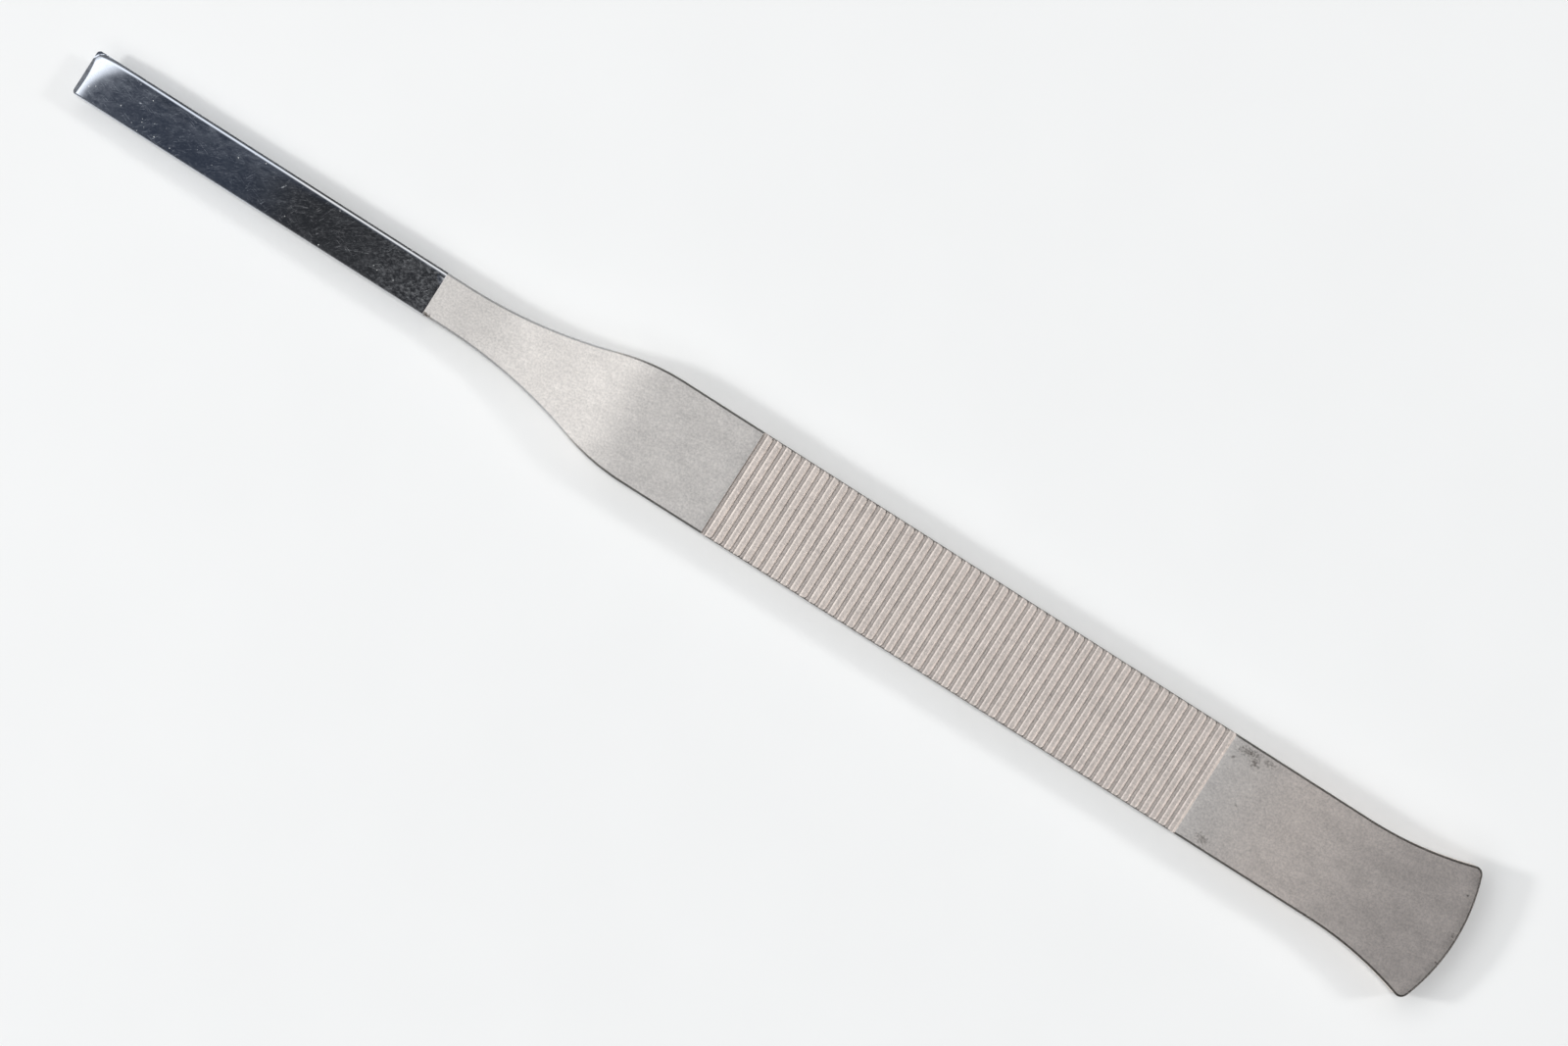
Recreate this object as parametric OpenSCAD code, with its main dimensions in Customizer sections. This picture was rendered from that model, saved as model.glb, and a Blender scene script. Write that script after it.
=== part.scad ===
// One-piece flat-handled osteotome, lying on its back.
// +X runs from the cutting edge to the striking head, +Y across, +Z up.
// The origin is the middle of the bounding box, on the surface that it lies on.

/* [Blade] */
// Width of the blade at the cutting edge
blade_width_front = 5.3; // [4.5:0.05:7]
// Width of the blade where the neck begins
blade_width_back = 5.12; // [4.5:0.02:7]
// Length of the mirror-polished end of the blade
polished_length = 43.6; // [20:0.1:45]
// Radius of the two corners of the cutting edge
blade_corner_radius = 0.45; // [0.2:0.05:0.8]
// Thickness of the cutting edge itself
edge_land = 0.1; // [0.06:0.02:0.3]
// Length of the final bevel on each face
bevel_length = 0.45; // [0.3:0.05:1]
// Thickness of the blade where the final bevel ends
bevel_thickness = 0.62; // [0.4:0.02:1]
// Distance from the cutting edge at which the faces begin to roll down to it
roll_length = 5.2; // [1.5:0.1:8]
// Thickness of the blade where the roll begins
blade_thickness_front = 1.35; // [1.1:0.05:2.2]
// Thickness of the blade where the neck begins
blade_thickness_back = 2.4; // [1.6:0.05:2.9]
// Width of the broken edges of the blade
blade_edge_break = 0.32; // [0.1:0.02:0.4]

/* [Neck] */
// Distance from the cutting edge to the start of the neck
neck_start = 46.25; // [45.5:0.25:49]
// Radius of the hollow of the neck, seen from above
hollow_radius = 56; // [40:1:60]
// Radius of the shoulder of the neck, seen from above
shoulder_radius = 26; // [15:1:35]
// Radius of the hollow of the ramp from blade to handle, seen from the side
ramp_hollow_radius = 260; // [180:5:280]
// Radius of the shoulder of the ramp, seen from the side
ramp_shoulder_radius = 70; // [40:5:90]

/* [Handle] */
// Length of the flat handle from the end of the neck to the start of the head
handle_length = 85.1; // [75:0.1:110]
// Thickness of the handle and the head
handle_thickness = 4; // [3:0.1:6]
// Width of the broken edges of the neck, the handle and the head
edge_break = 0.22; // [0.1:0.01:0.4]
// Width of the handle behind the neck
handle_width_front = 12.55; // [11:0.05:14]
// Width of the handle in front of the head
handle_width_back = 12.26; // [11:0.02:14]

/* [Grip] */
// Distance from the end of the neck to the middle of the first groove
grip_gap = 10.48; // [5:0.01:14]
// Number of grooves on each face
groove_count = 50; // [20:1:56]
// Distance from one groove to the next
groove_pitch = 1.17; // [1.1:0.01:1.2]
// Radius of the hollow of a groove
groove_radius = 0.8; // [0.75:0.01:1]
// Depth of a groove below the face of the handle
groove_depth = 0.34; // [0.3:0.01:0.45]
// Width of the broken edges along the grip, measured at the face
grip_edge_break = 0.4; // [0.3:0.02:0.5]

/* [Head] */
// Length of the flared head
head_length = 14.25; // [10:0.25:18]
// Radius of the hollow sides of the head
flare_radius = 40; // [34:1:60]
// Radius of the striking end
crown_radius = 21.6; // [16:0.2:40]
// Radius of the corners of the striking end
head_corner_radius = 0.9; // [0.5:0.05:2]

/* [Hidden] */

// numbers of steps along the curves
corner_steps = 5;
roll_steps = 8;
neck_steps = 26;
flare_steps = 12;
head_corner_steps = 8;
crown_steps = 10;
groove_facets = 64;
// overrun of the groove cutters past the handle's sides
overrun = 2;
// stations closer than this to the end of a straight side are left out
station_gap = 0.02;
// share of the half thickness that a broken edge may take at the cutting edge
thin_edge_share = 0.8;

polished_colour = "#59616c";
satin_colour = "#bcb8b3";

// an S of two arcs that meet at one slope: the height at distance x from its start
function s_angle(rise, r1, r2) = acos(1 - rise / (r1 + r2));
function s_length(rise, r1, r2) = (r1 + r2) * sin(s_angle(rise, r1, r2));
function s_height(x, rise, r1, r2) =
    x <= 0 ? 0
    : x < r1 * sin(s_angle(rise, r1, r2)) ? r1 - sqrt(r1 * r1 - x * x)
    : x < s_length(rise, r1, r2) ? rise - r2 + sqrt(r2 * r2 - pow(s_length(rise, r1, r2) - x, 2))
    : rise;
function blend(a, b, t) = a + (b - a) * max(0, min(1, t));

neck_rise = (handle_width_front - blade_width_back) / 2;
neck_end = neck_start + s_length(neck_rise, hollow_radius, shoulder_radius);
ramp_rise = (handle_thickness - blade_thickness_back) / 2;
flare_start = neck_end + handle_length;
overall_length = flare_start + head_length;
grip_start = neck_end + grip_gap;
grip_end = grip_start + (groove_count - 1) * groove_pitch;

// half width of the straight and necked part at distance x from the cutting edge
function half_width(x) =
    x < neck_start ? blend(blade_width_front, blade_width_back, x / neck_start) / 2
    : x < neck_end ? blade_width_back / 2
        + s_height(x - neck_start, neck_rise, hollow_radius, shoulder_radius)
    : blend(handle_width_front, handle_width_back, (x - neck_end) / (flare_start - neck_end)) / 2;

// half thickness: final bevel, rolled faces, tapering blade, ramp, level handle
function half_thickness(x) =
    x < bevel_length ? blend(edge_land, bevel_thickness, x / bevel_length) / 2
    : x < roll_length ? (blade_thickness_front - (blade_thickness_front - bevel_thickness)
        * pow((roll_length - x) / (roll_length - bevel_length), 3)) / 2
    : x < neck_start ? blend(blade_thickness_front, blade_thickness_back,
        (x - roll_length) / (neck_start - roll_length)) / 2
    : blade_thickness_back / 2
        + s_height(x - neck_start, ramp_rise, ramp_hollow_radius, ramp_shoulder_radius);

// width of the broken edge: wide on the blade, narrow behind it, widest beside the grooves
function break_width(x) =
    x < neck_end ? min(thin_edge_share * half_thickness(x),
        blend(blade_edge_break, edge_break, (x - neck_start) / (neck_end - neck_start)))
    : edge_break + (grip_edge_break - edge_break)
        * blend(0, 1, 1 + (x - grip_start) * 2 / groove_pitch)
        * blend(0, 1, 1 + (grip_end - x) * 2 / groove_pitch);

// the corner between the hollow side of the head and its crown
crown_centre = [overall_length - crown_radius, 0];
flare_centre = [flare_start, handle_width_back / 2 + flare_radius];
corner_to_crown = crown_radius - head_corner_radius;
corner_to_flare = flare_radius + head_corner_radius;
centre_gap = norm(flare_centre - crown_centre);
along = (corner_to_crown * corner_to_crown - corner_to_flare * corner_to_flare
    + centre_gap * centre_gap) / (2 * centre_gap);
aside = sqrt(corner_to_crown * corner_to_crown - along * along);
gap_way = (flare_centre - crown_centre) / centre_gap;
corner_centre = crown_centre + along * gap_way + aside * [gap_way[1], -gap_way[0]];
flare_angle = atan2(corner_centre[0] - flare_centre[0], flare_centre[1] - corner_centre[1]);
crown_angle = atan2(corner_centre[1], corner_centre[0] - crown_centre[0]);

// stations along one side, each as [x, y, outward x, outward y]
function arc_station(centre, r, a) = [centre[0] + r * cos(a), centre[1] + r * sin(a), cos(a), sin(a)];
blade_corner = [for (k = [0 : corner_steps - 1])
    arc_station([blade_corner_radius, half_width(0) - blade_corner_radius],
        blade_corner_radius, 180 - 90 * k / corner_steps)];
shape_places = concat(
    [for (k = [0 : roll_steps]) blend(bevel_length, roll_length, k / roll_steps)],
    [for (k = [0 : neck_steps]) blend(neck_start, neck_end, k / neck_steps)],
    [grip_start - groove_pitch / 2, grip_start, grip_end, grip_end + groove_pitch / 2]);
side_places = concat([blade_corner_radius],
    [for (x = shape_places)
        if (x > blade_corner_radius + station_gap && x < polished_length - station_gap) x],
    [polished_length],
    [for (x = shape_places) if (x > polished_length + station_gap) x]);
side = [for (x = side_places) [x, half_width(x), 0, 1]];
flare = [for (k = [0 : flare_steps - 1]) let (a = flare_angle * k / flare_steps)
    [flare_centre[0] + flare_radius * sin(a), flare_centre[1] - flare_radius * cos(a), -sin(a), cos(a)]];
head_corner = [for (k = [0 : head_corner_steps])
    arc_station(corner_centre, head_corner_radius,
        blend(90 + flare_angle, crown_angle, k / head_corner_steps))];
crown = [for (k = [1 : crown_steps - 1])
    arc_station(crown_centre, crown_radius, crown_angle * (1 - k / (crown_steps - 0.5)))];
stations = concat(blade_corner, side, flare, head_corner, crown);

// the eight corners of the section at a station, its edges broken
function section(s) =
    let (b = break_width(s[0]), inner = [s[0] - b * s[2], s[1] - b * s[3]],
        face = half_thickness(inner[0]), wall = max(half_thickness(s[0]) - b, edge_land / 4))
    [[inner[0], inner[1], face], [s[0], s[1], wall], [s[0], s[1], -wall], [inner[0], inner[1], -face],
     [inner[0], -inner[1], -face], [s[0], -s[1], -wall], [s[0], -s[1], wall], [inner[0], -inner[1], face]];

// the forging between two places on the length: sections joined in a row
module forging(from, to) {
    sections = [for (s = stations) if (s[0] >= from - station_gap / 2 && s[0] <= to + station_gap / 2)
        section(s)];
    last = 8 * (len(sections) - 1);
    polyhedron(
        points = [for (s = sections) for (p = s) p],
        faces = concat(
            [for (i = [0 : len(sections) - 2]) for (j = [0 : 7])
                [8 * i + j, 8 * i + 8 + j, 8 * i + 8 + (j + 1) % 8, 8 * i + (j + 1) % 8]],
            [[0, 1, 6, 7], [1, 2, 5, 6], [2, 3, 4, 5]],
            [[last + 7, last + 6, last + 1, last], [last + 6, last + 5, last + 2, last + 1],
             [last + 5, last + 4, last + 3, last + 2]]));
}

// one row of round-bottomed grooves cut across a face of the handle
module groove_row(face_height) {
    for (k = [0 : groove_count - 1])
        translate([grip_start + k * groove_pitch, 0, face_height])
            rotate([90, 0, 0])
                cylinder(r = groove_radius, h = handle_width_front + 2 * overrun,
                    center = true, $fn = groove_facets);
}

module polished_blade() {
    color(polished_colour) forging(0, polished_length);
}

module satin_body() {
    axis_height = handle_thickness / 2 - groove_depth + groove_radius;
    color(satin_colour) difference() {
        forging(polished_length, overall_length);
        groove_row(axis_height);
        groove_row(-axis_height);
    }
}

module osteotome() {
    translate([-overall_length / 2, 0, handle_thickness / 2]) {
        polished_blade();
        satin_body();
    }
}

osteotome();
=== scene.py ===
import math

import bmesh
import bpy
import numpy as np
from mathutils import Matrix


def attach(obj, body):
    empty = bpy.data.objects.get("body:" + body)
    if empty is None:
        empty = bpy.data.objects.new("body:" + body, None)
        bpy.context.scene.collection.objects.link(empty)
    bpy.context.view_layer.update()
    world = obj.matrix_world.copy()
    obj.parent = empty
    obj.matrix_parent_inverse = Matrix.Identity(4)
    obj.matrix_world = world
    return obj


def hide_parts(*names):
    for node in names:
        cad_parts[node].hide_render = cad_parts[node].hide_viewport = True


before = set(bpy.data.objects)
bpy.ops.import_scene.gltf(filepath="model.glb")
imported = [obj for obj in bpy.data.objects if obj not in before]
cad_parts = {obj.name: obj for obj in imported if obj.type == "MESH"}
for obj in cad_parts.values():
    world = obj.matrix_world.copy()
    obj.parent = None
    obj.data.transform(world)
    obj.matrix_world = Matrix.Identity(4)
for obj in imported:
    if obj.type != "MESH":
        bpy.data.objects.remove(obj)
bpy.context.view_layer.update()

# The view
# The instrument was photographed from straight above, lying aslant with its cutting
# edge at the upper left. The camera hangs over it, turned by the slant.
SLANT = math.radians(32.46)
PIXEL = 1 / 9.745e3
LENS_MM, SENSOR_MM = 100.0, 36.0
FRAME_PX = (1600, 1067)
CENTRE_PX = (784.5, 516.0)
FOCUS_HEIGHT = 0.003

right = np.array((math.cos(SLANT), math.sin(SLANT)))
up = np.array((-math.sin(SLANT), math.cos(SLANT)))
offset = ((FRAME_PX[0] / 2 - CENTRE_PX[0]) * right + (CENTRE_PX[1] - FRAME_PX[1] / 2) * up) * PIXEL
distance = FRAME_PX[0] * PIXEL * LENS_MM / SENSOR_MM
camera_data = bpy.data.cameras.new("camera")
camera_data.lens, camera_data.sensor_width = LENS_MM, SENSOR_MM
camera_data.clip_start, camera_data.clip_end = 0.01, 20.0
camera = bpy.data.objects.new("camera", camera_data)
camera.location = (offset[0], offset[1], FOCUS_HEIGHT + distance)
camera.rotation_euler = (0, 0, SLANT)
bpy.context.scene.collection.objects.link(camera)
bpy.context.scene.camera = camera

# The light
# A light tent: pale all round, brighter beyond the cutting edge, dark at the horizon, and
# dark overhead, where the camera looks in through a wide opening. Two soft lamps, one on
# each side of the picture, cast the two soft shadows. A third, far above and hidden from
# reflections, lights the table between them.
bpy.context.scene.view_settings.view_transform = "Standard"
world = bpy.data.worlds.new("light_tent")
bpy.context.scene.world = world
world.use_nodes = True
wt = world.node_tree
wt.nodes.clear()


def add(tree, kind, inputs=None, **settings):
    """A node with its settings, and its inputs set to numbers or linked to other nodes' outputs."""
    node = tree.nodes.new(kind)
    for key, value in settings.items():
        setattr(node, key, value)
    for key, value in (inputs or {}).items():
        if hasattr(value, "is_output"):
            tree.links.new(value, node.inputs[key])
        else:
            node.inputs[key].default_value = value
    return node


def calc(tree, operation, *values):
    """The output of a Math node for numbers or other nodes' outputs."""
    return add(tree, "ShaderNodeMath", dict(enumerate(values)), operation=operation).outputs[0]


def step(tree, value, low, high, bottom=0.0, top=1.0):
    """A smooth step from bottom to top as the value goes from low to high."""
    ends = {"Value": value, "From Min": low, "From Max": high, "To Min": bottom, "To Max": top}
    return add(tree, "ShaderNodeMapRange", ends, interpolation_type="SMOOTHSTEP").outputs["Result"]


def blend(tree, factor, a, b):
    """The colour that goes from a to b with the factor."""
    a, b = (c if hasattr(c, "is_output") else (*c, 1.0) for c in (a, b))
    return add(tree, "ShaderNodeMix", {0: factor, 6: a, 7: b}, data_type="RGBA").outputs[2]


def angle_from(direction, axis_tilt):
    """The angle in degrees between a direction and the vertical leaned by axis_tilt degrees towards +X."""
    lean = math.radians(axis_tilt)
    axis = (math.sin(lean), 0, math.cos(lean))
    dot = add(wt, "ShaderNodeVectorMath", {0: direction, 1: axis}, operation="DOT_PRODUCT")
    return calc(wt, "DEGREES", calc(wt, "ARCCOSINE", dot.outputs["Value"]))


# the wall's level and how much it falls towards +X, and its foot: the angles from the vertical between
# which it fades, and the share of its level that is left
WALL_LEVEL, WALL_SLOPE = 1.38, 0.9
WALL_FOOT, FOOT_LEVEL = (46, 63), 0.07
# the opening: its lean towards +X and the angles of its soft edge, with the camera's dark front in it
OPENING_LEAN, OPENING, CAMERA_EDGE = 12.0, (24, 44), (8.8, 10.2)
OPENING_COLOUR, CAMERA_COLOUR = (0.060, 0.070, 0.092), (0.042, 0.044, 0.048)
direction = add(wt, "ShaderNodeTexCoord").outputs["Generated"]
across = add(wt, "ShaderNodeSeparateXYZ", {0: direction}).outputs["X"]
wall = calc(wt, "MULTIPLY", WALL_LEVEL, calc(wt, "SUBTRACT", 1.0, calc(wt, "MULTIPLY", across, WALL_SLOPE)))
from_vertical = angle_from(direction, 0)
wall = calc(wt, "MULTIPLY", wall, step(wt, from_vertical, *WALL_FOOT, 1.0, FOOT_LEVEL))
overhead = blend(wt, step(wt, from_vertical, *CAMERA_EDGE), CAMERA_COLOUR, OPENING_COLOUR)
edge = step(wt, angle_from(direction, OPENING_LEAN), *OPENING)
walls = add(wt, "ShaderNodeBackground", {"Color": (1.0, 1.0, 1.0, 1), "Strength": wall})
ceiling = add(wt, "ShaderNodeBackground", {"Color": overhead, "Strength": 1.0})
tent = add(wt, "ShaderNodeMixShader", {0: edge, 1: ceiling.outputs[0], 2: walls.outputs[0]})
add(wt, "ShaderNodeOutputWorld", {"Surface": tent.outputs[0]})


LAMP_SIZE = 0.12


def soft_lamp(name, turn, power, spread, height):
    """A square lamp that looks at the origin from a height, set out by spread towards the picture's right
    and then turned about the vertical by turn degrees."""
    data = bpy.data.lights.new(name, "AREA")
    data.shape, data.size, data.energy = "SQUARE", LAMP_SIZE, power
    lamp = bpy.data.objects.new(name, data)
    x, y = spread * (math.cos(math.radians(turn)) * right + math.sin(math.radians(turn)) * up)
    lamp.location = (x, y, height)
    lamp.rotation_euler = (math.atan2(spread, height), 0, math.atan2(y, x) + math.pi / 2)
    bpy.context.scene.collection.objects.link(lamp)
    return lamp


soft_lamp("lamp_left", turn=173, power=2.75, spread=0.74, height=0.50)
soft_lamp("lamp_right", turn=3, power=1.35, spread=0.72, height=0.46)
lamp_above = soft_lamp("lamp_above", turn=90, power=4.6, spread=0.10, height=1.40)
lamp_above.visible_glossy = False

# The table
# A plain sheet of pale paper, wide enough to fill the view.
PAPER, FIBRE_TONE, FIBRE_SCALE = (0.790, 0.797, 0.796), 0.015, 60.0
SHEET_REACH = 3.0
sheet = bpy.data.meshes.new("table_sheet")
corners = [(SHEET_REACH * i, SHEET_REACH * j, 0) for i, j in ((-1, -1), (1, -1), (1, 1), (-1, 1))]
sheet.from_pydata(corners, [], [(0, 1, 2, 3)])
table_sheet = bpy.data.objects.new("table_sheet", sheet)
bpy.context.scene.collection.objects.link(table_sheet)
paper = bpy.data.materials.new("pale_paper")
paper.use_nodes = True
pt = paper.node_tree
pt.nodes.clear()
on_sheet = add(pt, "ShaderNodeTexCoord").outputs["Object"]
fibres = add(pt, "ShaderNodeTexNoise", {"Vector": on_sheet, "Scale": FIBRE_SCALE}).outputs[0]
tone = blend(pt, fibres, [c * (1 - FIBRE_TONE) for c in PAPER], [c * (1 + FIBRE_TONE) for c in PAPER])
shade = add(pt, "ShaderNodeBsdfDiffuse", {"Color": tone})
add(pt, "ShaderNodeOutputMaterial", {"Surface": shade.outputs[0]})
sheet.materials.append(paper)

# The osteotome
# One piece of stainless steel, forged flat, ground to a thin blade and a fan-shaped
# head, and satin-finished. The front of the blade is polished to a mirror on a wheel,
# and round grooves are milled across both faces of the handle for grip.
BLADE_WIDTH_FRONT, BLADE_WIDTH_BACK = 5.3, 5.12
POLISHED_LENGTH = 43.6
BLADE_CORNER = 0.45
EDGE_LAND = 0.1
BEVEL_SLOPE, BEVEL_ROUND = 0.73, 0.06
ROLL_LENGTH, BLADE_FRONT, BLADE_BACK, FRONT_FALL = 5.2, 1.35, 2.4, 0.066
NECK_START, HOLLOW, SHOULDER = 46.25, 56.0, 26.0
RAMP_HOLLOW, RAMP_SHOULDER = 260.0, 70.0
HANDLE_LENGTH, HANDLE_THICKNESS = 85.1, 4.0
HANDLE_WIDTH_FRONT, HANDLE_WIDTH_BACK = 12.55, 12.26
GRIP_GAP, GROOVES, PITCH = 10.48, 50, 1.17
HEAD_LENGTH, FLARE, CROWN, HEAD_CORNER = 14.25, 40.0, 21.6, 0.9
# each broken edge: its width, and the tilts in degrees where it leaves the face and where it meets the side
SATIN_BREAK, GRIP_BREAK = (0.22, 38, 42), (0.44, 38, 42)
MIRROR_BREAK_LEFT, MIRROR_BREAK_RIGHT = (0.55, 0, 42), (0.17, 30, 55)
# the roll of the polished tip: the place on the right edge that it bends round, the way along and across
# from there to where it has its named slope, and the powers by which the slope grows before and beyond that
ROLL_PLACE, ROLL_WAY, ROLL_SLOPE, ROLL_POWERS = 5.2, (4.45, 4.95), 0.118, (9, 3.8)
# the share of the roll that is left far back, the length over which it fades, the rise of the left side over
# the middle that the tip starts from, and where that rise is full and where it ends
ROLL_BACK, ROLL_FADE, ROLL_LEAN, LEAN_FULL, LEAN_END = 0.4, 12.0, 0.15, 3.0, 14.0
# a groove as the cutter left it: places along the pitch from the crest, and depths below the face
GROOVE_PLACES = (
    -0.03, 0.0, 0.02, 0.04, 0.12, 0.22, 0.30, 0.38, 0.47, 0.55, 0.64, 0.74, 0.84, 0.90, 0.98, 1.0, 1.03)
GROOVE_DEPTHS = (
    0.0, 0.086, 0.18, 0.282, 0.272, 0.268, 0.296, 0.330, 0.302,
    0.292, 0.290, 0.287, 0.277, 0.213, 0.11, 0.086, 0.0)
# the rolled-over lip beside the first and the last groove
LIP_FALL, LIP_REACH = 0.025, 0.45


def s_curve(x, rise, r1, r2):
    """The height at x of an S that climbs by rise, and its length: an arc of radius r1 that curves up, then
    one of radius r2 that curves level, meeting at one slope."""
    angle = math.acos(1 - rise / (r1 + r2))
    length = (r1 + r2) * math.sin(angle)
    low = r1 - np.sqrt(r1**2 - np.clip(x, 0, r1 * math.sin(angle)) ** 2)
    high = rise - r2 + np.sqrt(r2**2 - np.clip(length - x, 0, r2 * math.sin(angle)) ** 2)
    return np.where(x < r1 * math.sin(angle), low, high), length


neck_rise = (HANDLE_WIDTH_FRONT - BLADE_WIDTH_BACK) / 2
neck_end = float(NECK_START + s_curve(np.zeros(1), neck_rise, HOLLOW, SHOULDER)[1])
flare_start = neck_end + HANDLE_LENGTH
total = flare_start + HEAD_LENGTH
grip_start = neck_end + GRIP_GAP
first_crest = grip_start - PITCH / 2
last_crest = first_crest + GROOVES * PITCH


def half_width(x):
    """Half the width at x: the blade narrows evenly, the neck adds its S, the handle narrows evenly."""
    blade = np.interp(x, (0, NECK_START), (BLADE_WIDTH_FRONT / 2, BLADE_WIDTH_BACK / 2))
    neck = BLADE_WIDTH_BACK / 2 + s_curve(x - NECK_START, neck_rise, HOLLOW, SHOULDER)[0]
    handle = np.interp(x, (neck_end, flare_start), (HANDLE_WIDTH_FRONT / 2, HANDLE_WIDTH_BACK / 2))
    return np.where(x < NECK_START, blade, np.where(x < neck_end, neck, handle))


def broken(q, width, start, stop):
    """Fall of a broken edge at a distance q inside the outline: part of a circle, whose tilt's sine grows
    evenly from the start angle at the face to the stop angle at the side."""
    s0, s1 = math.sin(math.radians(start)), math.sin(math.radians(stop))
    sine = s0 + (s1 - s0) * np.clip(1 - q / width, 0, 1)
    return width / (s1 - s0) * (math.sqrt(1 - s0**2) - np.sqrt(1 - sine**2))


def polished_height(x, y):
    """Height of the polished face. The blade tapers evenly. The wheel's roll takes off the integral of a
    slope that grows as a power of e, the distance from the roll's place in units of the roll's way. The
    broken edges come off too, and the cutting bevel, a plane, meets the face in a small round."""
    heights = (BLADE_FRONT / 2 - FRONT_FALL, BLADE_FRONT / 2, BLADE_BACK / 2)
    taper = np.interp(x, (0, ROLL_LENGTH, NECK_START), heights)
    side_room = half_width(x) - np.abs(y)
    e = np.hypot(np.maximum(ROLL_PLACE - x, 0) / ROLL_WAY[0], (y + BLADE_WIDTH_FRONT / 2) / ROLL_WAY[1])
    inner, outer = (p + 1 for p in ROLL_POWERS)
    grown = np.minimum(e, 1) ** inner / inner + (np.maximum(e, 1) ** outer - 1) / outer
    kept = ROLL_BACK + (1 - ROLL_BACK) * np.exp(-np.maximum(x - ROLL_PLACE, 0) / ROLL_FADE)
    fall = ROLL_SLOPE * np.mean(ROLL_WAY) * grown * kept
    ahead = np.clip((LEAN_END - x) / (LEAN_END - LEAN_FULL), 0, 1)
    lean = ROLL_LEAN * y / half_width(x) * ahead**2 * (3 - 2 * ahead)
    edge = np.where(y > 0, broken(side_room, *MIRROR_BREAK_LEFT), broken(side_room, *MIRROR_BREAK_RIGHT))
    surface, bevel = taper + lean - fall - edge, EDGE_LAND / 2 + BEVEL_SLOPE * x
    near = np.maximum(BEVEL_ROUND - np.abs(surface - bevel), 0) / BEVEL_ROUND
    return np.maximum(np.minimum(surface, bevel) - near**2 * BEVEL_ROUND / 4, EDGE_LAND / 2)


def groove(x):
    """Depth of the grooves below the face at x: the cutter's shape at the place within the pitch."""
    place = (x - first_crest) / PITCH
    return np.interp(place - np.clip(np.floor(place), 0, GROOVES - 1), GROOVE_PLACES, GROOVE_DEPTHS)


def satin_height(x, edge):
    """Height of the satin face: the blade's even taper and the S of the ramp, less the deepest of the broken
    edge, the groove and the lip, which fades as an exponential away from the grooves."""
    taper = np.interp(x, (ROLL_LENGTH, NECK_START), (BLADE_FRONT / 2, BLADE_BACK / 2))
    climb = s_curve(x - NECK_START, (HANDLE_THICKNESS - BLADE_BACK) / 2, RAMP_HOLLOW, RAMP_SHOULDER)[0]
    away = np.maximum(np.maximum(first_crest - x, x - last_crest), 0)
    lip = LIP_FALL * np.exp(-away / LIP_REACH) * (away > 0)
    return taper + climb * (x > NECK_START) - np.maximum(np.maximum(edge, groove(x)), lip)


def arc(centre, radius, start, stop, steps):
    """Points of an arc in plan, each the centre plus radius times the unit vector at its angle, and then
    those unit vectors."""
    a = np.linspace(start, stop, steps)
    normal = np.stack((np.cos(a), np.sin(a)), 1)
    return np.hstack((np.asarray(centre) + radius * normal, normal))


# one side of the outline in plan, from the corner of the cutting edge to the crown
# stations stand close beside the border of the polish and along the lips of the grip
BORDER_GAP, LIP_END = 0.03, 1.6
FIRST_LIP, LAST_LIP = (0.045 * PITCH, 1.4, 9), (0.05 * PITCH, 1.4, 9)
corner_centre = (BLADE_CORNER, BLADE_WIDTH_FRONT / 2 - BLADE_CORNER)
blade_corner = arc(corner_centre, BLADE_CORNER, math.pi, math.pi / 2, 9)
pitches = np.add.outer(np.arange(GROOVES), [p for p in GROOVE_PLACES if 0 <= p <= 1]).ravel()
places = np.unique(np.round(np.concatenate((
    np.linspace(BLADE_CORNER, ROLL_LENGTH, 44),
    np.linspace(ROLL_LENGTH, POLISHED_LENGTH - BORDER_GAP, 40),
    np.linspace(POLISHED_LENGTH - BORDER_GAP, POLISHED_LENGTH + BORDER_GAP, 3),
    np.linspace(POLISHED_LENGTH + BORDER_GAP, NECK_START, 6),
    np.linspace(NECK_START, neck_end, 50),
    np.linspace(neck_end, first_crest - LIP_END, 10),
    first_crest - np.linspace(*FIRST_LIP),
    first_crest + PITCH * pitches,
    last_crest + np.linspace(*LAST_LIP),
    np.linspace(last_crest + LIP_END, flare_start, 16),
)), 5))[1:-1]
side = np.stack((places, half_width(places), 0 * places, 0 * places + 1), 1)
crown_centre = np.array((total - CROWN, 0.0))
flare_centre = np.array((flare_start, HANDLE_WIDTH_BACK / 2 + FLARE))
span = np.linalg.norm(flare_centre - crown_centre)
way = (flare_centre - crown_centre) / span
along = ((CROWN - HEAD_CORNER) ** 2 - (FLARE + HEAD_CORNER) ** 2 + span**2) / (2 * span)
aside = math.sqrt((CROWN - HEAD_CORNER) ** 2 - along**2)
head_centre = crown_centre + along * way + aside * np.array((way[1], -way[0]))
flare_angle = math.atan2(head_centre[0] - flare_centre[0], flare_centre[1] - head_centre[1])
crown_angle = math.atan2(head_centre[1], head_centre[0] - crown_centre[0])
flare = arc(flare_centre, FLARE, -math.pi / 2, -math.pi / 2 + flare_angle, 30)
flare[:, 2:] *= -1
head_corner = arc(head_centre, HEAD_CORNER, math.pi / 2 + flare_angle, crown_angle, 12)[1:]
crown = arc(crown_centre, CROWN, crown_angle, 0, 26)[1:]
outline = np.vstack((blade_corner, side, flare, head_corner, crown))
outline_x, outline_y, normal_x, normal_y = outline.T[:, :, None]
mirror = outline_x < POLISHED_LENGTH
into_grip = np.clip(1 + (outline_x - grip_start) * 2 / PITCH, 0, 1)
out_of_grip = np.clip(1 + (last_crest - PITCH / 2 - outline_x) * 2 / PITCH, 0, 1)
beside_grip = into_grip * out_of_grip
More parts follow.
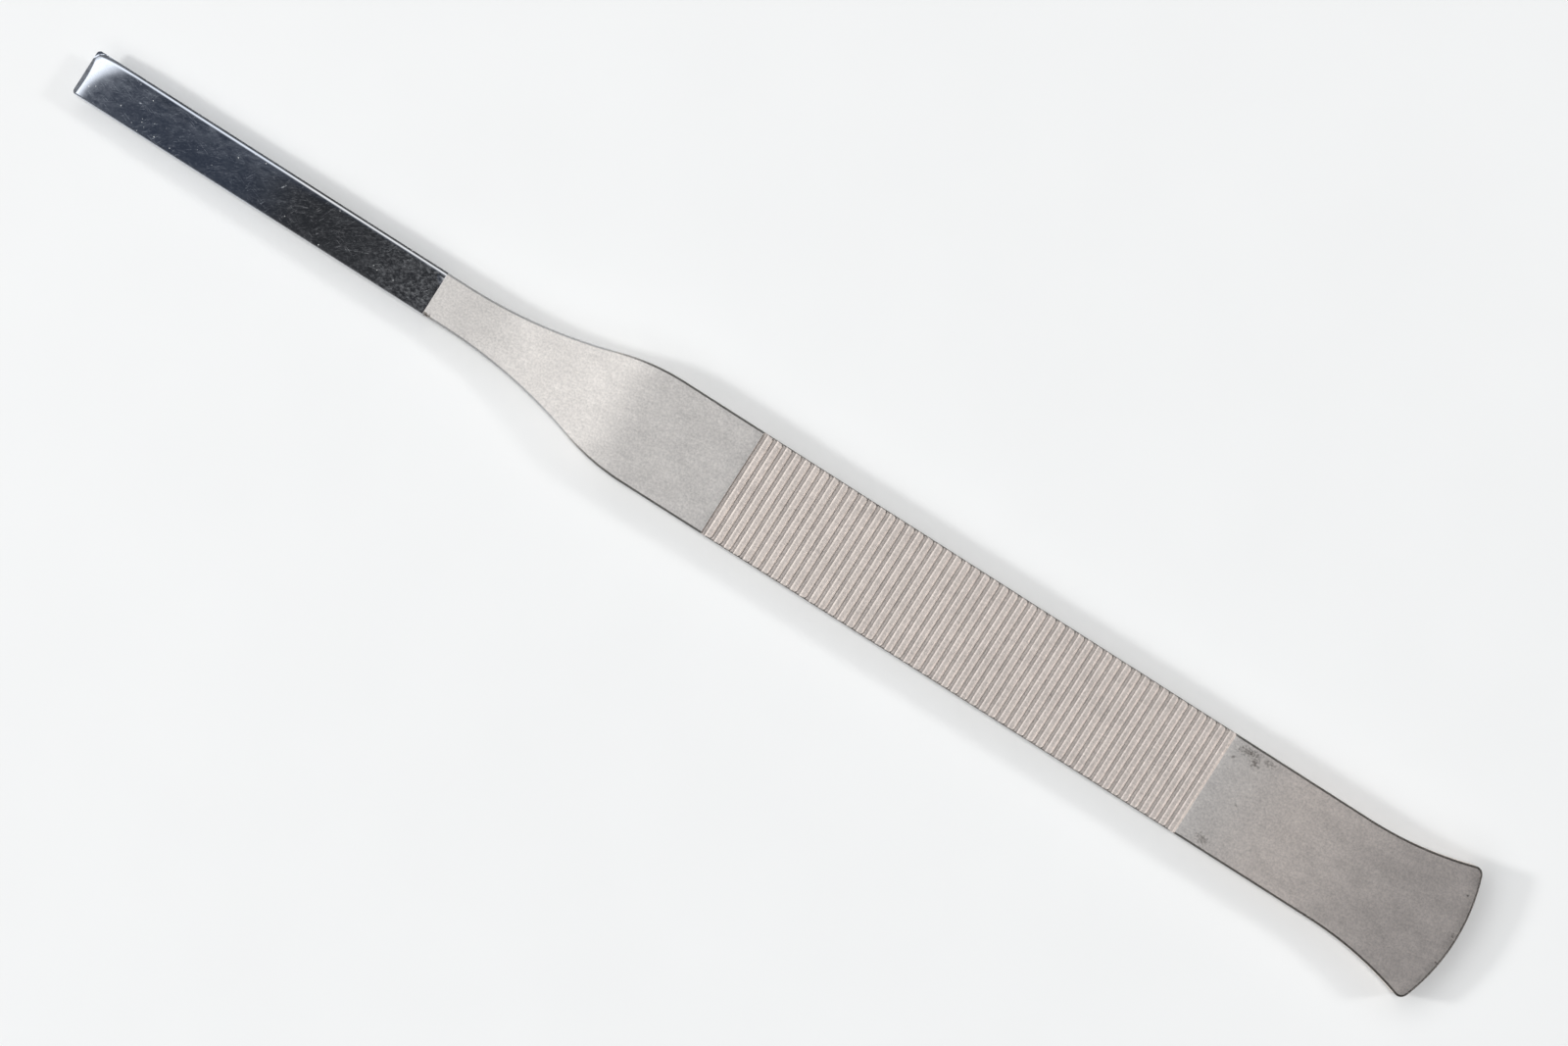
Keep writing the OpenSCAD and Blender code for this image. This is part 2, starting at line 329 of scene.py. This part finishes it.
# steps across a broken edge, shares of the strip beyond it, steps across the face, shares of the wall
EDGE_STEPS, INNER_PLACES, FACE_STEPS, WALL_PLACES = 8, (0.03, 0.4, 1.0), 20, (0.03, 0.5, 0.97)
# the face's columns crowd to the left as a power of their number
COLUMN_POWER = 1.25
# the strip beyond a broken edge on the mirror and on the satin
MIRROR_STRIP, SATIN_STRIP = 0.12, 0.22
# the room for edge and strip at the tip's corner and at a place behind it, and the edge's greatest share
ROOM_PLACES, STRIP_ROOM, ROOM_SHARE = (BLADE_CORNER, 2.4), (0.40, 1.0), 0.9


def rim_strip(side_sign, mirror_break):
    """Points of the upper face beside one edge, each at a distance q inside the outline along its normal:
    even steps across the broken edge, then a few beyond it. The fourth value is 1 on the satin's broken
    edge and 0 elsewhere."""
    grip_width = SATIN_BREAK[0] + (GRIP_BREAK[0] - SATIN_BREAK[0]) * beside_grip
    room = np.interp(outline_x, ROOM_PLACES, STRIP_ROOM)
    width = np.where(mirror, np.minimum(mirror_break[0], ROOM_SHARE * room), grip_width)
    rim = np.where(mirror, np.minimum(room, width + MIRROR_STRIP), width + SATIN_STRIP)
    steps_across = width * np.arange(EDGE_STEPS + 1) / EDGE_STEPS
    q = np.hstack((steps_across, width + (rim - width) * np.array(INNER_PLACES)))
    x = outline_x - normal_x * q
    y = side_sign * (outline_y - normal_y * q)
    edge = broken(q / width * SATIN_BREAK[0], *SATIN_BREAK) * width / SATIN_BREAK[0]
    z = np.where(mirror, polished_height(x, y), satin_height(x, edge))
    share = np.where(mirror, 0.0, (q <= width * 1.001) & (edge >= groove(x)))
    return np.stack((x, y, z, share), -1)


left_rim, right_rim = rim_strip(1, MIRROR_BREAK_LEFT), rim_strip(-1, MIRROR_BREAK_RIGHT)
columns = (np.arange(FACE_STEPS + 1) / FACE_STEPS) ** COLUMN_POWER
across_face = columns[None, 1:-1, None]
face = left_rim[:, -1:, :] * (1 - across_face) + right_rim[:, -1:, :] * across_face
face[..., 2] = np.where(mirror, polished_height(face[..., 0], face[..., 1]), satin_height(face[..., 0], 0))
upper = np.concatenate((left_rim, face, right_rim[:, ::-1]), 1)
UPSIDE_DOWN = (1, 1, -1, 1)
down_wall = np.array(WALL_PLACES)[None, :, None]
lower = upper * UPSIDE_DOWN
wall_right = upper[:, -1:] * (1 - down_wall) + lower[:, -1:] * down_wall
wall_left = lower[:, :1] * (1 - down_wall) + upper[:, :1] * down_wall
# the flat walls are no part of the broken edge
wall_right[..., 3] = wall_left[..., 3] = 0
loops = np.concatenate((upper, wall_right, lower[:, ::-1], wall_left), 1)
rings, around = loops.shape[:2]

# the cutting edge: the first section's two ends joined straight across, above, in front and below


def front_end(rim):
    """One side's first section as one row of points: out along its upper face, down its wall and in along its
    lower face."""
    wall = rim[0, :1] * (1 - down_wall[0]) + rim[0, :1] * UPSIDE_DOWN * down_wall[0]
    return np.concatenate((rim[0, ::-1], wall, rim[0] * UPSIDE_DOWN))


across_edge = columns[:, None, None]
edge_cap = front_end(left_rim) * (1 - across_edge) + front_end(right_rim) * across_edge
depth = left_rim.shape[1]
for rows, sign in ((slice(0, depth), 1), (slice(-depth, None), -1)):
    edge_cap[:, rows, 2] = sign * polished_height(edge_cap[:, rows, 0], edge_cap[:, rows, 1])


def grid_faces(index):
    """Four-sided faces between neighbouring rows and columns of a grid of point numbers."""
    return np.stack((index[:-1, :-1], index[1:, :-1], index[1:, 1:], index[:-1, 1:]), -1).reshape(-1, 4)


loop_index = np.arange(rings * around).reshape(rings, around)
body_faces = grid_faces(np.hstack((loop_index, loop_index[:, :1])))
cap_shape = edge_cap.shape[:2]
cap_index = rings * around + np.arange(cap_shape[0] * cap_shape[1]).reshape(cap_shape)
cap_faces = grid_faces(cap_index)
points = np.vstack((loops.reshape(-1, 4), edge_cap.reshape(-1, 4)))
# to metres about the middle, a hair inside the solid, whose round corners have fewer facets
TO_METRES, HAIR_INSIDE = 0.001, (0.99995, 0.9995, 1.0)
points_m = (points[:, :3] + (-total / 2, 0, HANDLE_THICKNESS / 2)) * np.array(HAIR_INSIDE) * TO_METRES

steel = bpy.data.meshes.new("osteotome_steel")
steel.from_pydata(points_m.tolist(), [], np.vstack((body_faces, cap_faces)).tolist())
broken_edge = steel.attributes.new("broken_edge", "FLOAT", "POINT")
broken_edge.data.foreach_set("value", points[:, 3].astype(np.float32))
bm = bmesh.new()
bm.from_mesh(steel)
bmesh.ops.remove_doubles(bm, verts=bm.verts, dist=2e-7)
bmesh.ops.dissolve_degenerate(bm, edges=bm.edges, dist=1e-8)
bmesh.ops.recalc_face_normals(bm, faces=bm.faces)
bm.to_mesh(steel)
bm.free()
steel.shade_smooth()
steel.set_sharp_from_angle(angle=math.radians(18))
osteotome = bpy.data.objects.new("osteotome_body", steel)
bpy.context.scene.collection.objects.link(osteotome)

# the steel's look: places in millimetres along from the cutting edge and across from the middle
TIP_TINT, POLISHED_TINT = (0.500, 0.540, 0.610), (0.520, 0.532, 0.555)
SATIN_TINT, HEAD_TINT, GRIP_TINT = (0.772, 0.744, 0.715), (0.806, 0.736, 0.684), (0.722, 0.660, 0.618)
DUST, STAIN = (0.80, 0.80, 0.78), (0.17, 0.145, 0.125)
# marks of use, dark and then pale: place along and across, half length, half width, turn in degrees, strength
DARK_MARKS = (
    (88.7, 3.8, 0.12, 0.18, 0, 1.0), (140.0, 3.9, 0.34, 0.24, 30, 1.0), (141.2, 5.2, 1.9, 0.6, 8, 0.95),
    (142.3, 4.6, 1.0, 0.75, -20, 0.85), (143.6, 5.3, 1.0, 0.5, 0, 0.75), (143.0, -0.2, 0.2, 0.18, 0, 1.0),
    (140.2, 2.6, 0.25, 0.16, 0, 0.45), (141.9, -5.1, 1.3, 0.65, -15, 0.75), (169.4, 0.4, 0.2, 0.42, 20, 1.0),
    (169.4, -2.9, 0.2, 0.24, 0, 1.0), (168.5, 4.8, 0.2, 0.24, 0, 1.0), (44.0, -2.38, 0.8, 0.26, 0, 1.0))
PALE_MARKS = (
    (132.6, -1.95, 0.13, 0.10, 0, 0.85), (158.2, -5.35, 1.10, 0.045, -13, 0.30),
    (24.2, 0.9, 0.45, 0.10, 55, 0.55), (6.8, 0.25, 0.16, 0.12, 0, 0.60), (5.8, 1.95, 0.14, 0.12, 0, 0.50))
metal = bpy.data.materials.new("stainless_steel")
metal.use_nodes = True
mt = metal.node_tree
mt.nodes.clear()
object_place = add(mt, "ShaderNodeTexCoord").outputs["Object"]
to_mm = {"Location": (total / 2, 0, -HANDLE_THICKNESS / 2), "Scale": (1 / TO_METRES,) * 3}
mm = add(mt, "ShaderNodeMapping", {"Vector": object_place, **to_mm}).outputs[0]
x_mm, y_mm, z_mm = add(mt, "ShaderNodeSeparateXYZ", {0: mm}).outputs


def along_steel(start, end):
    """A smooth step from 0 to 1 along the instrument between two places, which may come in either order."""
    return step(mt, x_mm, start, end)


def patch(place, size, turn):
    """Places measured from the middle of a patch turned by turn degrees, in units of the patch's own size."""
    inputs = {"Vector": mm, "Location": place, "Rotation": (0, 0, math.radians(turn)), "Scale": size}
    return add(mt, "ShaderNodeMapping", inputs, vector_type="TEXTURE").outputs[0]


def noise(size, detail=3.0, rough=0.5, turn=0, warp=0.0):
    """Noise about a half, its grains' size in mm along, across and down, the whole turned by turn degrees."""
    spot = patch((0, 0, 0), size, turn)
    inputs = {"Vector": spot, "Scale": 1.0, "Detail": detail, "Roughness": rough, "Distortion": warp}
    return add(mt, "ShaderNodeTexNoise", inputs).outputs[0]


def total_of(*parts):
    """The sum of a first number or output and of pairs of an output and its weight."""
    result = parts[0]
    for output, weight in parts[1:]:
        result = calc(mt, "MULTIPLY_ADD", output, weight, result)
    return result


def product(*parts):
    """The product of several outputs or numbers."""
    result = parts[0]
    for part in parts[1:]:
        result = calc(mt, "MULTIPLY", result, part)
    return result


def about_zero(output):
    """An output that goes from 0 to 1, moved to lie about zero."""
    return calc(mt, "SUBTRACT", output, 0.5)


def marks_of(table):
    """Where the marks of a table lie: full in the middle of each, with an edge that noise makes ragged."""
    ragged = noise((0.25, 0.25, 0.25), 6.0, 0.72)
    result = 0.0
    for x, y, length, width, turn, strength in table:
        near = patch((x, y, 0), (length, width, 4.0), turn)
        away = add(mt, "ShaderNodeVectorMath", {0: near}, operation="LENGTH").outputs["Value"]
        mark = step(mt, total_of(away, (ragged, 3.4)), 2.75, 1.75, 0.0, strength)
        result = calc(mt, "MAXIMUM", result, mark)
    return result


dark_marks, pale_marks = marks_of(DARK_MARKS), marks_of(PALE_MARKS)

# the polished front: wiped haze, wisps and fine specks, which are thin films on the bright metal
cloud = step(mt, noise((1.9, 1.1, 2.0), 6.0, 0.72, 20, 0.5), 0.44, 0.74)
wisps = step(mt, noise((1.0, 0.16, 1.0), 5.0, 0.66, 28, 1.4), 0.55, 0.70)
fine = step(mt, noise((0.26, 0.20, 0.3), 4.0, 0.75), 0.52, 0.72)

# hairlines that cloths left at three slants, each kept only in some patches
hairs = 0.0
for slant in (26, -20, 60):
    line = step(mt, noise((1.2, 0.040, 1.0), 1.0, 0.4, slant, 0.3), 0.66, 0.73)
    kept_there = step(mt, noise((2.0, 1.2, 2.0), 1.0, 0.5, slant + 50), 0.48, 0.58)
    hairs = total_of(hairs, (product(line, kept_there), 1.0))

# dust: round specks in about a third of the cells of a loose pattern, in some patches
cells = add(mt, "ShaderNodeTexVoronoi", {"Vector": mm, "Scale": 1.5}, feature="F1")
picked = step(mt, add(mt, "ShaderNodeSeparateColor", {0: cells.outputs["Color"]}).outputs[0], 0.62, 0.66)
speck = step(mt, cells.outputs["Distance"], 0.12, 0.05)
dust = product(speck, picked, step(mt, noise((6.0, 2.5, 3.0), 2.0), 0.42, 0.55))

# films that are thicker at the border of the satin, at the tip, and along the left side of the front half
border_film = product(along_steel(31.0, 43.0), step(mt, noise((0.45, 0.34, 0.5), 5.0, 0.75), 0.44, 0.70))
tip_film = product(along_steel(6.0, 1.5), step(mt, noise((0.75, 0.55, 0.6), 5.0, 0.7), 0.30, 0.75))
left_side = step(mt, y_mm, -1.5, 2.2)
bluish_noise = step(mt, noise((2.2, 0.7, 1.0), 5.0, 0.7, 8, 0.6), 0.36, 0.72)
bluish_film = product(along_steel(27.0, 20.0), left_side, bluish_noise)
haze = total_of(
    0.0, (cloud, 0.05), (wisps, 0.13), (fine, 0.09), (hairs, 0.26), (dust, 0.80), (border_film, 0.20),
    (tip_film, 0.18), (bluish_film, 0.11), (pale_marks, 0.8))
polish_rough = total_of(0.040, (cloud, 0.03), (tip_film, 0.05), (border_film, 0.05))

# the milled grip, on the faces only: warmer and a little more matt, with short tool ticks along the grooves
from_middle = calc(mt, "ABSOLUTE", z_mm)
in_grip = product(
    along_steel(first_crest - 0.06, first_crest - 0.02), along_steel(last_crest + 0.06, last_crest + 0.02),
    step(mt, from_middle, 1.59, 1.65))
ticks = noise((0.45, 0.09, 0.5), 2.0, 0.5)

# the satin: fine even grain with faint blotches and a few grinding streaks. It is most matt on the ramp, less
# so on the handle and least on the head. The broken edges are burnished.
grain = noise((0.24, 0.24, 0.24), 3.0, 0.7)
blotch = noise((3.0, 2.0, 2.0), 4.0, 0.6)
streak = noise((6.0, 0.20, 0.3), 3.0, 0.5, 12, 0.3)
# the broken edge's share: burnished, so less rough, and carrying painted dark reflections and painted
# highlights in the tone below
burnished_and_shaded_edge = add(mt, "ShaderNodeAttribute", attribute_name="broken_edge").outputs["Fac"]
satin_rough = total_of(
    0.505, (along_steel(50.0, 58.0), 0.06), (along_steel(64.0, 69.0), -0.09),
    (along_steel(136.0, 142.0), -0.025), (along_steel(148.0, 164.0), -0.07),
    (grain, 0.06), (blotch, 0.05), (in_grip, 0.05), (pale_marks, 0.2))
satin_rough = product(satin_rough, total_of(1.0, (burnished_and_shaded_edge, -0.42)))

# tints: each finish has its own, with dust, nicks and stains laid over
is_satin = calc(mt, "GREATER_THAN", x_mm, POLISHED_LENGTH)
is_polished = calc(mt, "SUBTRACT", 1.0, is_satin)
polished_tint = blend(mt, along_steel(21.0, 27.0), TIP_TINT, POLISHED_TINT)
satin_tint = blend(mt, along_steel(136.0, 150.0), SATIN_TINT, HEAD_TINT)
tint = blend(mt, is_satin, polished_tint, blend(mt, in_grip, satin_tint, GRIP_TINT))
pale_share = calc(mt, "MINIMUM", total_of(0.0, (product(dust, is_polished), 0.9), (pale_marks, 0.45)), 1.0)
tint = blend(mt, dark_marks, blend(mt, pale_share, tint, DUST), STAIN)

# how pale each place is: the grain, the ticks, painted shade on the last millimetre before the striking end,
# painted dark reflections on the edges behind the neck, painted highlights on them before it, painted light
# on the neck
# painted shade on the last millimetre of the face before the crown
on_plan = add(mt, "ShaderNodeCombineXYZ", {"X": x_mm, "Y": y_mm}).outputs[0]
to_crown = add(mt, "ShaderNodeVectorMath", {0: on_plan, 1: (*crown_centre, 0)}, operation="DISTANCE")
by_crown = step(mt, to_crown.outputs["Value"], CROWN - 1.5, CROWN - 0.1)
painted_shade_at_crown = product(by_crown, along_steel(total - 4.5, total - 3.5))
grains = total_of(0.0, (about_zero(grain), 0.75), (about_zero(blotch), 0.26), (about_zero(streak), 0.16))
tone = total_of(
    1.0, (product(grains, is_satin), 1.0), (product(about_zero(ticks), in_grip), 0.40), (painted_shade_at_crown, -0.20),
    (product(burnished_and_shaded_edge, along_steel(61.0, 69.0)), -0.45), (product(burnished_and_shaded_edge, along_steel(68.0, 60.0)), 0.45),
    (product(along_steel(50.0, 53.5), along_steel(68.0, 64.0)), 0.08))
shaded = add(mt, "ShaderNodeVectorMath", {0: tint, "Scale": tone}, operation="SCALE").outputs[0]

roughness = total_of(product(is_polished, polish_rough), (product(is_satin, satin_rough), 1.0))
metallic = calc(mt, "SUBTRACT", 1.0, product(is_polished, haze))
RELIEF_DEPTH, RELIEF_STRENGTH = 0.000016, 0.5
relief = total_of(0.0, (grain, 0.7), (product(ticks, in_grip), 0.8))
bump = add(mt, "ShaderNodeBump", {
    "Strength": product(is_satin, RELIEF_STRENGTH), "Distance": RELIEF_DEPTH, "Height": relief})
bsdf = add(mt, "ShaderNodeBsdfPrincipled", {
    "Metallic": metallic, "Base Color": shaded, "Roughness": roughness, "Normal": bump.outputs[0]})
add(mt, "ShaderNodeOutputMaterial", {"Surface": bsdf.outputs[0]})
steel.materials.append(metal)
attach(osteotome, "root")
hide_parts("osteotome")
